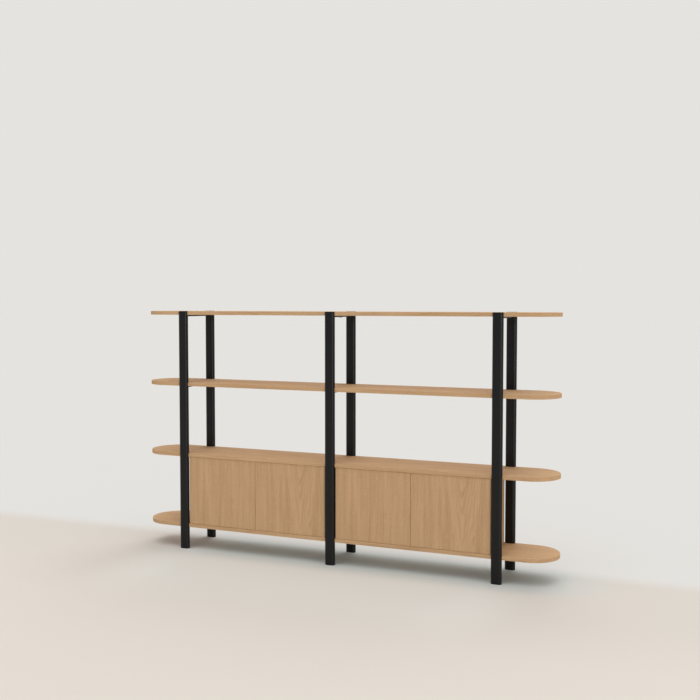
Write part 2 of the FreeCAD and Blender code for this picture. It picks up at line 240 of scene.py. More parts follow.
@dataclass
class Shell:
    """Corner places and faces of a closed mesh, gathered from strips and filled faces."""

    axis: Axis = Axis.Z
    places: list[np.ndarray] = field(default_factory=list)
    faces: list[tuple[int, ...]] = field(default_factory=list)
    count: int = 0

    def add_places(self, places: np.ndarray) -> int:
        """Adds corners and returns the number of the first one.

        Args:
            places: the corners on the slab's axes.

        Returns:
            The first one's number.
        """
        first = self.count
        self.places.append(places[:, list(self.axis.value)])
        self.count += len(places)
        return first

    def add_strip(self, rings: np.ndarray, closed: bool = False) -> None:
        """Joins closed rings, one after the other, with four-sided faces.

        Args:
            rings: an array of rings, points and the slab's three axes.
            closed: whether the last ring joins the first.
        """
        rows, points = rings.shape[:2]
        first = self.add_places(rings.reshape(-1, 3))
        row, column = np.meshgrid(np.arange(rows if closed else rows - 1), np.arange(points), indexing="ij")
        across, above = (column + 1) % points, (row + 1) % rows
        corners = [(row, column), (row, across), (above, across), (above, column)]
        quads = first + np.stack([a * points + b for a, b in corners], axis=-1).reshape(-1, 4)
        self.faces.extend(map(tuple, quads.tolist()))

    def add_fill(self, loops: list[np.ndarray], height: float, faces_up: bool) -> None:
        """Fills a flat face inside the first loop and outside the others with Delaunay triangles.

        A triangle is kept where its middle lies inside an odd number of loops.

        Args:
            loops: plan outlines.
            height: where the face lies along the slab.
            faces_up: whether it looks along the slab's axis or against it.
        """
        flat = np.concatenate(loops)
        ends = np.cumsum([len(loop) for loop in loops])
        following = np.concatenate([np.roll(run, -1) for run in np.split(np.arange(ends[-1]), ends[:-1])])
        rims = np.column_stack([np.arange(len(flat)), following])
        triangles = np.array(delaunay_2d_cdt(flat.tolist(), rims.tolist(), [], 0, WELD_DISTANCE)[2])
        a, b, c = (flat[triangles[:, corner]] for corner in range(3))
        triangles = triangles[inside((a + b + c) / 3, flat, flat[following])]
        a, b, c = (flat[triangles[:, corner]] for corner in range(3))
        turned = (np.cross(b - a, c - a) > 0) != faces_up
        triangles[turned] = triangles[turned][:, ::-1]
        first = self.add_places(np.column_stack([flat, np.full(len(flat), height)]))
        self.faces.extend(map(tuple, (first + triangles).tolist()))

    def add_stack(self, plans: np.ndarray, heights: np.ndarray, closed: bool = False) -> None:
        """Joins plan outlines that lie at given heights, one above the other."""
        height = np.broadcast_to(heights[:, None, None], (*plans.shape[:2], 1))
        self.add_strip(np.concatenate([plans, height], axis=2), closed)

    def add_slab(self, outline: np.ndarray, low: float, high: float, ease: float, *holes: Hole) -> Self:
        """Adds a slab with rounded rims.

        Args:
            outline: counter-clockwise plan points.
            low, high: the slab's end faces along its axis.
            ease: the rims' radius.
            holes: the holes in its end faces.

        Returns:
            The shell.
        """
        inset, rise = quarter_round(ease)
        insets = np.concatenate([inset[::-1], inset])
        heights = np.concatenate([low + ease - rise[::-1], high - ease + rise])
        plans = outline - insets[:, None, None] * outward(outline)
        self.add_stack(plans, heights)
        for on_top, plan, height in ((False, plans[0], low), (True, plans[-1], high)):
            here = [hole for hole in holes if hole.depth is None or hole.on_top == on_top]
            self.add_fill([plan] + [hole.outline for hole in here], height, on_top)
        for hole in holes:
            self.add_hole(hole, low, high)
        return self

    def add_block(self, node: str, ease: float, *holes: Hole) -> Self:
        """Adds a slab that fills a node's box, with rounded corners and rims.

        Args:
            node: the node.
            ease: the rims' radius.
            holes: the holes in its end faces.

        Returns:
            The shell.
        """
        low, high = np.array(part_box(node))[:, np.argsort(self.axis.value)]
        outline = round_rectangle(low, high, CORNER_TO_EASE * ease)
        return self.add_slab(outline, low[2], high[2], ease, *holes)

    def add_hole(self, hole: Hole, low: float, high: float) -> None:
        """Adds a hole's walls, and its floor unless it runs through, in a slab from low to high.

        Args:
            hole: the hole.
            low, high: the slab's end faces.
        """
        mouth = high if hole.on_top else low
        if hole.depth is None:
            end = low + high - mouth
        else:
            end = mouth - hole.depth if hole.on_top else mouth + hole.depth
            self.add_fill([hole.outline], end, hole.on_top)
        heights = np.array([max(mouth, end), min(mouth, end)])
        self.add_stack(np.stack([hole.outline, hole.outline]), heights)

    def add_round(self, centre: Place, heights: np.ndarray, radii: np.ndarray) -> None:
        """Adds a turned form: centre + r (cos a, sin a) at each height, drawn to a point at both ends.

        Args:
            centre: where its axis lies.
            heights: of its rings, all rising or all falling along the axis.
            radii: a row for each ring, with a value for each angle of a whole turn.
        """
        angle = np.linspace(0, FULL_TURN, radii.shape[1], endpoint=False)
        circle = np.stack([np.cos(angle), np.sin(angle)], axis=1)
        upward = 1 if heights[-1] > heights[0] else -1
        radii = np.pad(radii, ((1, 1), (0, 0)))[::upward]
        heights = np.pad(heights, 1, mode="edge")[::upward]
        self.add_stack(np.array(centre) + radii[:, :, None] * circle, heights)

    def add_bead(self, path: np.ndarray, height: float, radii: np.ndarray, steps: int = 10) -> None:
        """Adds a bead along a path: path + r cos a across it and r sin a along the slab's axis.

        Args:
            path: plan points.
            height: where the path lies along the axis.
            radii: the bead's radius at each point, nothing at both ends.
            steps: chords round the bead.
        """
        ahead = np.gradient(path, axis=0)
        ahead /= np.linalg.norm(ahead, axis=1, keepdims=True)
        across = np.stack([-ahead[:, 1], ahead[:, 0]], axis=1)
        angle = np.linspace(0, FULL_TURN, steps, endpoint=False)
        out = radii[:, None] * np.cos(angle)
        plan = path[:, None] + out[:, :, None] * across[:, None]
        self.add_strip(np.concatenate([plan, height + (radii[:, None] * np.sin(angle))[:, :, None]], axis=2))

    def mesh(self, name: str) -> bpy.types.Mesh:
        """Welds the gathered corners, whose faces all look outwards, into a mesh with smooth rounded rims.

        Args:
            name: the mesh's name.

        Returns:
            The finished mesh.
        """
        made = bpy.data.meshes.new(name)
        made.from_pydata(np.concatenate(self.places).tolist(), [], self.faces)
        weld = bmesh.new()
        weld.from_mesh(made)
        bmesh.ops.remove_doubles(weld, verts=weld.verts, dist=WELD_DISTANCE)
        weld.to_mesh(made)
        weld.free()
        made.shade_smooth()
        made.set_sharp_from_angle(angle=SHARP_EDGE)
        return made


def add_object(name: str, data: bpy.types.ID) -> bpy.types.Object:
    """Adds an object to the scene.

    Args:
        name: the object's name.
        data: its mesh, light or camera.

    Returns:
        The object.
    """
    added = bpy.data.objects.new(name, data)
    bpy.context.collection.objects.link(added)
    return added


class Coat(NamedTuple):
    """A finished material, and the record's material slot that it stands for."""

    material: bpy.types.Material
    slot: str


def make_piece(name: str, shell: Shell, coat: Coat, *nodes: str, body: str = FRAME_BODY) -> None:
    """Turns a shell into a dressed object that stands for some of the frame's nodes.

    Args:
        name: the piece's name.
        shell: its mesh in the making.
        coat: its finish.
        nodes: the nodes that it stands for.
        body: the body that it moves with.
    """
    piece = add_object(name, shell.mesh(name))
    piece.data.materials.append(coat.material)
    weighting = piece.modifiers.new("even_faces", "WEIGHTED_NORMAL")
    weighting.keep_sharp = True
    weighting.weight = BROAD_FACES_LEAD
    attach(piece, body)
    if nodes:
        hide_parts(*nodes)
    LOG.info("%s: %d faces, on %s", name, len(piece.data.polygons), body)


def centre_and_size(node: str) -> tuple[Vector, Vector]:
    """The middle and the size of a node's box."""
    low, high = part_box(node)
    return (low + high) / 2, high - low


def middle_of(node: str) -> Vector:
    """The middle of a node's box."""
    return centre_and_size(node)[0]


# Finishes


@dataclass(frozen=True)
class Cut:
    """How a piece was cut: where its tree's heart ran, and how far the cut leant from it.

    The heart of an upright piece is measured in plan from the piece's own middle.
    """

    heart: Triple
    lean: tuple[float, float] = (0.0, 0.012)


class Grain(Enum):
    """The way the fibres run, as the turn about y that lays an oak pattern's length along it."""

    ALONG_X = math.pi / 2
    ALONG_Z = 0.0


class NodeTree:
    """A shader node tree with short ways to add and join its nodes."""

    def __init__(self, tree: bpy.types.NodeTree) -> None:
        """Keeps the tree that nodes go into."""
        self.tree = tree

    def add(self, kind: str, inputs: Inputs | None = None, **properties: object) -> bpy.types.Node:
        """Adds a node, sets its properties and feeds its inputs.

        Args:
            kind: the node's type.
            inputs: what feeds them.
            properties: the node's properties.

        Returns:
            The node.
        """
        node = self.tree.nodes.new(kind)
        for name, value in properties.items():
            setattr(node, name, value)
        self.feed(node, inputs or {})
        return node

    def feed(self, node: bpy.types.Node, inputs: Inputs) -> None:
        """Links sockets to a node's inputs, or sets plain values on them.

        Args:
            node: the node.
            inputs: what feeds them.
        """
        for key, value in inputs.items():
            if isinstance(value, Socket):
                self.tree.links.new(value, node.inputs[key])
            else:
                node.inputs[key].default_value = value

    def place(self) -> Socket:
        """Adds the coordinates of a place in the object."""
        return self.add("ShaderNodeTexCoord").outputs["Object"]

    def parts(self, vector: Socket) -> bpy.types.NodeOutputs:
        """Splits a vector into its x, y and z."""
        return self.add("ShaderNodeSeparateXYZ", {0: vector}).outputs

    def vector(self, *parts: object) -> Socket:
        """Joins an x, a y and a z into a vector."""
        return self.add("ShaderNodeCombineXYZ", dict(enumerate(parts))).outputs[0]

    def math(self, operation: str, *values: object, clamped: bool = False) -> Socket:
        """Works out a Math node's result from sockets or numbers, held from 0 to 1 if clamped."""
        inputs = dict(enumerate(values))
        return self.add("ShaderNodeMath", inputs, operation=operation, use_clamp=clamped).outputs[0]

    def sway(self, value: Socket, reach: float, base: object = 0.0) -> Socket:
        """Turns a value that spreads round one half into base plus or minus up to half of reach."""
        return self.math("MULTIPLY_ADD", self.math("SUBTRACT", value, 0.5), reach, base)

    def noise(self, vector: Socket, scale: Triple, detail: float = 2.0) -> Socket:
        """Adds a noise texture of its own scale along each axis; its value spreads round one half.

        Args:
            vector: the place to look up.
            scale: along each axis.
            detail: how many finer layers it has.

        Returns:
            The value.
        """
        stretched = self.add("ShaderNodeVectorMath", {0: vector, 1: scale}, operation="MULTIPLY").outputs[0]
        inputs = {"Vector": stretched, "Scale": 1.0, "Detail": detail}
        return self.add("ShaderNodeTexNoise", inputs).outputs["Fac"]

    def span(
        self, value: Socket, low: float, high: float, to_low: float = 0.0, to_high: float = 1.0
    ) -> Socket:
        """Maps a value smoothly from one span to another, held at its ends."""
        inputs = {"Value": value, "From Min": low, "From Max": high, "To Min": to_low, "To Max": to_high}
        return self.add("ShaderNodeMapRange", inputs, interpolation_type="SMOOTHSTEP").outputs["Result"]

    def mix(self, share: object, first: object, second: object) -> Socket:
        """Mixes two colours by the second one's share."""
        return self.add("ShaderNodeMix", {0: share, 6: first, 7: second}, data_type="RGBA").outputs[2]


class Pattern(NodeTree):
    """A shader node group that turns a place in a piece into a colour, a roughness and a height."""

    def __init__(self, name: str, colours: tuple[str, ...], numbers: tuple[str, ...]) -> None:
        """Starts the group.

        Args:
            name: the group's name.
            colours, numbers: the names of its inputs, which a finish sets.
        """
        super().__init__(bpy.data.node_groups.new(name, "ShaderNodeTree"))
        for side, kind, titles in (
            ("INPUT", "Vector", ("Vector",)), ("INPUT", "Color", colours), ("INPUT", "Float", numbers),
            ("OUTPUT", "Color", ("Colour",)), ("OUTPUT", "Float", ("Roughness", "Height")),
        ):
            for title in titles:
                self.tree.interface.new_socket(name=title, in_out=side, socket_type=f"NodeSocket{kind}")
        self.given = self.add("NodeGroupInput").outputs
        self.made = self.add("NodeGroupOutput")


@dataclass(frozen=True)
class OakFigure:
    """How far noise bends oak's rings, in metres, and how much each feature shades or roughens the wood.

    A band starts and fades over shares of a ring. Pores and rays rise over a span of their noise.
    """

    slow_bend: float = 0.07
    wavy_bend: float = 0.007
    band_starts: Place = (0.0, 0.12)
    band_fades: Place = (0.2, 0.8)
    pore_rise: Place = (0.6, 0.68)
    ray_rise: Place = (0.66, 0.78)
    ray_crowding: float = 0.1  # noise distance for each radian round the heart
    porous_shade: float = 0.22
    streak_shade: float = 0.75
    year_shade: float = 1.0
    cloud_shade: float = 0.6
    fibre_shade: float = 0.85
    middle_shade: float = 0.4
    ray_colour: Colour = tint(222, 190, 152)
    ray_share: float = 0.35
    ray_roughness: float = -0.08
    pore_colour: Colour = tint(112, 80, 50)
    pore_share: float = 0.45
    pore_roughness: float = 0.16
    pores_outside_band: float = 0.2
    fibre_rise: Place = (0.3, 0.7)
    fibre_roughness: Place = (0.66, 0.76)
    fibre_height: float = 0.35


def oak_pattern(figure: OakFigure = OakFigure()) -> bpy.types.NodeTree:
    """Oak as a solid: growth rings round the pattern's z axis, cut by whatever surface lies in it.

    The ring number is the distance from the z axis, bent by slow noise, over the ring width. Its
    fraction gives a narrow porous band that starts sharply and fades, and noise over the bent
    distance makes some years paler than others. Streaks, fibres and pores are noise drawn out
    along z, and rays are thin flecks that run out from the z axis.

    Args:
        figure: how strongly each of these shows.

    Returns:
        The node group.
    """
    oak = Pattern("oak_solid", colours=("Light", "Dark"), numbers=("Ring Width", "Figure"))
    place = oak.given["Vector"]
    x, y, z = oak.parts(place)
    distance = oak.math("SQRT", oak.math("ADD", oak.math("POWER", x, 2.0), oak.math("POWER", y, 2.0)))
    slow = oak.noise(place, (6.0, 6.0, 0.9), 3.0)
    wavy = oak.noise(place, (30.0, 30.0, 4.0), 3.0)
    bent = oak.sway(wavy, figure.wavy_bend, oak.math("ADD", distance, oak.sway(slow, figure.slow_bend)))
    ring = oak.math("FRACT", oak.math("DIVIDE", bent, oak.given["Ring Width"]))
    fading = oak.span(ring, *figure.band_fades, 1.0, 0.0)
    porous = oak.math("MULTIPLY", oak.span(ring, *figure.band_starts), fading)
    season = oak.noise(oak.vector(bent, 0.0, z), (62.0, 0.0, 1.8), 4.0)
    fibre = oak.noise(place, (420.0, 420.0, 8.0), 4.0)
    streak = oak.noise(place, (95.0, 95.0, 3.2), 3.0)
    cloud = oak.noise(place, (9.0, 9.0, 2.0), 2.0)
    pore = oak.span(oak.noise(place, (1700.0, 1700.0, 80.0), 1.0), *figure.pore_rise)
    least = figure.pores_outside_band
    pore = oak.math("MULTIPLY", pore, oak.math("MULTIPLY_ADD", porous, 1 - least, least))
    around = oak.math("MULTIPLY", oak.math("ARCTAN2", y, x), figure.ray_crowding)
    ray = oak.noise(oak.vector(around, distance, z), (1500.0, 45.0, 28.0), 1.0)
    ray = oak.span(ray, *figure.ray_rise)
    tone = oak.math("MULTIPLY_ADD", porous, figure.porous_shade, oak.sway(streak, figure.streak_shade))
    for value, shade in (
        (season, figure.year_shade), (cloud, figure.cloud_shade), (fibre, figure.fibre_shade),
    ):
        tone = oak.sway(value, shade, tone)
    tone = oak.math("MULTIPLY", tone, oak.given["Figure"])
    share = oak.math("ADD", tone, figure.middle_shade, clamped=True)
    colour = oak.mix(share, oak.given["Light"], oak.given["Dark"])
    colour = oak.mix(oak.math("MULTIPLY", ray, figure.ray_share), colour, figure.ray_colour)
    colour = oak.mix(oak.math("MULTIPLY", pore, figure.pore_share), colour, figure.pore_colour)
    rough = oak.span(fibre, *figure.fibre_rise, *figure.fibre_roughness)
    rough = oak.math("MULTIPLY_ADD", pore, figure.pore_roughness, rough)
    rough = oak.math("MULTIPLY_ADD", ray, figure.ray_roughness, rough)
    height = oak.math("SUBTRACT", oak.math("MULTIPLY", fibre, figure.fibre_height), pore)
    oak.feed(oak.made, {"Colour": colour, "Roughness": rough, "Height": height})
    return oak.tree


def skin_pattern() -> bpy.types.NodeTree:
    """A sprayed, moulded or plated skin: fine grain, a broader ripple and slow changes of tone.

    Returns:
        The node group.
    """
    skin = Pattern("fine_skin", colours=("Colour", "Paler"), numbers=("Roughness", "Grain", "Ripple"))
    given = skin.given
    place = given["Vector"]
    sizing = skin.add("ShaderNodeVectorMath", operation="SCALE")
    skin.feed(sizing, {0: place, "Scale": given["Grain"]})
    sized = sizing.outputs[0]
    grain = skin.noise(sized, (1.0, 1.0, 1.0))
    ripple = skin.noise(sized, (0.22, 0.22, 0.22))
    slow = skin.noise(place, (6.0, 6.0, 6.0), 3.0)
    share = skin.math("ADD", skin.span(grain, 0.35, 0.75, 0.0, 0.5), skin.span(slow, 0.3, 0.7, 0.0, 0.5))
    skin.feed(skin.made, {
        "Colour": skin.mix(share, given["Colour"], given["Paler"]),
        "Roughness": skin.sway(grain, 0.1, skin.sway(slow, 0.12, given["Roughness"])),
        "Height": skin.math("MULTIPLY_ADD", ripple, given["Ripple"], grain),
    })
    return skin.tree


@dataclass(frozen=True)
class Finish:
    """What every finish shares: a shader fed by a pattern group in the piece's own coordinates."""

    name: str
    slot: str
    bump_height: float = 0.0001
    metallic: float = 0.0
    specular: float = 0.5
    bump_strength: float = 0.6

    def build(
        self, pattern: bpy.types.NodeTree, values: dict[str, object], shift: Triple = (0.0, 0.0, 0.0),
        turn: Triple = (0.0, 0.0, 0.0),
    ) -> Coat:
        """Builds the material.

        Args:
            pattern: the pattern's node group.
            values: what to set on the group's inputs.
            shift, turn: how the pattern lies in the piece.

        Returns:
            The material with its slot.
        """
        material = bpy.data.materials.new(self.name)
        material.use_nodes = True
        tree = NodeTree(material.node_tree)
        laid = {"Vector": tree.place(), "Location": shift, "Rotation": turn}
        mapping = tree.add("ShaderNodeMapping", laid, vector_type="TEXTURE")
        surface = tree.add("ShaderNodeGroup", node_tree=pattern)
        tree.feed(surface, {"Vector": mapping.outputs["Vector"], **values})
        bump = tree.add("ShaderNodeBump", {
            "Height": surface.outputs["Height"], "Distance": self.bump_height, "Strength": self.bump_strength,
        })
        tree.feed(material.node_tree.nodes["Principled BSDF"], {
            "Base Color": surface.outputs["Colour"], "Roughness": surface.outputs["Roughness"],
            "Normal": bump.outputs["Normal"], "Metallic": self.metallic,
            "Specular IOR Level": self.specular,
        })
        return Coat(material, self.slot)


@dataclass(frozen=True)
class OakFinish(Finish):
    """Matt oiled oak, whose pattern lies in the piece as the piece was cut from its tree."""

    slot: str = "oak"
    specular: float = 0.06
    light: Colour = tint(219, 182, 140)
    dark: Colour = tint(178, 139, 99)
    ring_width: float = 0.005
    figure: float = 0.6

    def coat(self, pattern: bpy.types.NodeTree, cut: Cut, grain: Grain, beside: Place) -> Coat:
        """Builds the oak of one piece.

        Args:
            pattern: the oak's node group.
            cut: how the piece was cut.
            grain: the way its fibres run.
            beside: the place in plan that the cut's heart is measured from.

        Returns:
            The oak.
        """
        values = {
            "Light": self.light, "Dark": self.dark, "Ring Width": self.ring_width, "Figure": self.figure,
        }
        heart = (beside[0] + cut.heart[0], beside[1] + cut.heart[1], cut.heart[2])
        return self.build(pattern, values, heart, (cut.lean[0], grain.value + cut.lean[1], 0.0))


@dataclass(frozen=True)
class SkinFinish(Finish):
    """A coated, moulded or plated finish of one colour with a fine grain."""

    colour: Colour = tint(14, 14, 14)
    paler: Colour = tint(19, 19, 19)
    roughness: float = 0.36
    grain_count: float = 1100.0
    ripple: float = 1.4

    def coat(self, pattern: bpy.types.NodeTree) -> Coat:
        """Builds the finish from its node group.

        Args:
            pattern: the skin's node group.

        Returns:
            The finish.
        """
        return self.build(pattern, {
            "Colour": self.colour, "Paler": self.paler, "Roughness": self.roughness,
            "Grain": self.grain_count, "Ripple": self.ripple,
        })


class Workshop:
    """Makes and keeps the finishes."""

    def __init__(self) -> None:
        """Builds the pattern groups and the finishes that many pieces share."""
        self.oak = oak_pattern()
        skin = skin_pattern()
        self.steel = SkinFinish(
            "black_powder_coat", "black_steel", bump_height=0.00005, specular=0.27,
        ).coat(skin)
        self.plastic = SkinFinish(
            "black_moulded_plastic", "black_plastic", bump_height=0.00003, specular=0.05,
            colour=tint(21, 21, 21), paler=tint(27, 27, 27), roughness=0.75, grain_count=2600.0,
        ).coat(skin)
        self.nylon = SkinFinish(
            "white_nylon", "white_nylon", bump_height=0.00003, colour=tint(222, 219, 210),
            paler=tint(232, 230, 224), roughness=0.42, grain_count=2200.0,
        ).coat(skin)
        self.zinc = SkinFinish(
            "zinc_plated_steel", "zinc_steel", bump_height=0.00001, metallic=1.0, colour=tint(186, 188, 190),
            paler=tint(204, 205, 204), roughness=0.32, grain_count=3200.0, ripple=0.6,
        ).coat(skin)

    def timber(
        self, name: str, cut: Cut, grain: Grain = Grain.ALONG_X, beside: Place = (0.0, 0.0)
    ) -> Coat:
        """Makes the oak of one piece from its name, its cut, the run of its fibres and its place."""
        return OakFinish(name).coat(self.oak, cut, grain, beside)


# Sub-assemblies


@dataclass(frozen=True)
class Joinery:
    """The fittings that sub-assemblies share: tongues, pivot pins and bushes, catch pegs and screws."""

    tongue_inset: float = 0.038
    tongue_thickness: float = 0.006
    tongue_reach: float = 0.008
    bush_side: float = 0.010
    bush_depth: float = 0.010
    pin_radius: float = 0.003
    peg_plan: Place = (0.030, 0.020)
    peg_height: float = 0.008
    screw_radius: float = 0.003
    corner: float = 0.001

    def tongue(self, place: str, clearance: float = 0.0) -> np.ndarray:
        """The plan of the tongues in one side panel, or of their slots.

        Args:
            place: which door the panel stands beside.
            clearance: how far a slot stands off its tongue.

        Returns:
            The outline's plan points.
        """
        centre, size = centre_and_size(f"cabinet_side_{place}")
        plan = (self.tongue_thickness, size.y - 2 * self.tongue_inset)
        return oblong(centre, plan, self.corner, clearance)

    def slot(self, place: str, on_top: bool = True) -> Hole:
        """The slot for a tongue, in a board or in the end of a side panel."""
        return Hole(self.tongue(place, FIT), self.tongue_reach + HOLE_END_ROOM / 2, on_top)

    def bush(self, place: str, clearance: float = 0.0) -> np.ndarray:
        """The plan of a door's bushes, or of their pockets."""
        plan = (self.bush_side, self.bush_side)
        return oblong(middle_of(f"pivot_pins_{place}"), plan, self.corner, clearance)


JOINERY = Joinery()


@dataclass
class LadderFrames:
    """Six flat-oval tubes with their caps and glides, and the flat crossbars welded between them."""

    wall: float = 0.002
    rim_ease: float = 0.0004
    cap_plate: float = 0.002
    glide_plate: float = 0.003
    plate_ease: float = 0.0008
    plug_clearance: float = 0.0001
    bar_ease: float = 0.0006
    bar_corner_steps: int = 4
    bead_radius: float = 0.0016
    bead_ripple: float = 0.07
    bead_pitch: float = 0.0022
    bead_step: float = 0.0004

    def tube(self, node: str) -> Shell:
        """A tube wall: a slim section with rounded rims, tall as the tube, carried round a flat oval.

        Args:
            node: the post's node.

        Returns:
            The tube.
        """
        low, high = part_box(node)
        outline = flat_oval(*centre_and_size(node))
        inset, rise = quarter_round(self.rim_ease)
        short = self.rim_ease - rise
        insets = np.concatenate([inset[::-1], inset, self.wall - inset[::-1], self.wall - inset])
        heights = np.concatenate([low.z + short[::-1], high.z - short, high.z - short[::-1], low.z + short])
        shell = Shell()
        shell.add_stack(outline - insets[:, None, None] * outward(outline), heights, closed=True)
        return shell

    def plates(self, node: str, plate: float, on_top: bool) -> Shell:
        """Two flat-oval plates, front and rear, each with its wedging plug.

        Args:
            node: the pair's node.
            plate: the plates' thickness.
            on_top: whether the plates close the tubes' tops or stand under them.

        Returns:
            The pair.
        """
        low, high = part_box(node)
        seat = high.z - plate if on_top else low.z + plate
        plug_span, plate_span = ((low.z, seat), (seat, high.z))[:: 1 if on_top else -1]
        shell = Shell()
        for row in ROWS:
            centre, size = centre_and_size(f"post_{row}_{node.split('_')[-1]}")
            plug = (size.x - size.y, size.y - 2 * (self.wall + self.plug_clearance))
            shell.add_slab(flat_oval(centre, size), *plate_span, self.plate_ease)
            shell.add_slab(oblong(centre, plug, self.plate_ease), *plug_span, self.rim_ease)
        return shell

    def bead_path(self, low: Vector, high: Vector) -> np.ndarray:
        """The weld's line in (z, x): down one side of a bar, under it and up the other, evenly stepped.

        Args:
            low, high: the bar's corners.

        Returns:
            The line's points.
        """
        top = high.z - self.bead_radius
        corner, steps = self.bar_ease, self.bar_corner_steps
        under = [
            arc((low.z + corner, low.x + corner), corner, 3 * math.pi / 2, math.pi, steps),
            arc((low.z + corner, high.x - corner), corner, math.pi, math.pi / 2, steps),
        ]
        rough = np.concatenate([[(top, low.x)], *under, [(top, high.x)]])
        run = np.append(0.0, np.cumsum(np.linalg.norm(np.diff(rough, axis=0), axis=1)))
        even = np.linspace(0, run[-1], int(run[-1] / self.bead_step))
        return np.stack([np.interp(even, run, rough[:, axis]) for axis in range(2)], axis=1)

    def add_welds(self, shell: Shell, low: Vector, high: Vector) -> None:
        """Runs a bead where each end of a bar meets its tube; its radius ripples and rounds off at both ends.

        Args:
            shell: the crossbar in the making.
            low, high: the bar's corners.
        """
        path = self.bead_path(low, high)
        along = np.arange(len(path)) * self.bead_step
        ripple = self.bead_radius * (1 + self.bead_ripple * np.sin(FULL_TURN * along / self.bead_pitch))
        from_end = np.minimum(along, along[::-1]) / self.bead_radius
        radii = ripple * np.sqrt(np.clip(1 - (1 - np.minimum(from_end, 1)) ** 2, 0, 1))
        shell.axis = Axis.Y
        for face in (low.y, high.y):
            shell.add_bead(path, face, radii)

    def crossbar(self, node: str, drilled: bool) -> Shell:
        """A flat bar with eased edges, welded at both ends.

        Args:
            node: the bar's node.
            drilled: whether a screw passes through it.

        Returns:
            The bar with its welds.
        """
        hole = Hole(disc(middle_of(node).xy, JOINERY.screw_radius + FIT))
        shell = Shell().add_block(node, self.bar_ease, *([hole] if drilled else []))
        self.add_welds(shell, *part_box(node))
        return shell

    def build(self, shop: Workshop) -> None:
        """Makes the frames' pieces.

        Args:
            shop: the finishes.
        """
        for column in COLUMNS:
            for row in ROWS:
                node = f"post_{row}_{column}"
                make_piece(f"{column}_{row}_tube", self.tube(node), shop.steel, node)
            for level in LEVELS:
                node = f"crossbar_{level}_{column}"
                bar = self.crossbar(node, column == SCREWED_COLUMN)
                make_piece(f"{column}_{level}_crossbar", bar, shop.steel, node)
            caps, glides = f"post_caps_{column}", f"floor_glides_{column}"
            make_piece(f"{column}_caps", self.plates(caps, self.cap_plate, True), shop.plastic, caps)
            make_piece(f"{column}_glides", self.plates(glides, self.glide_plate, False), shop.plastic, glides)


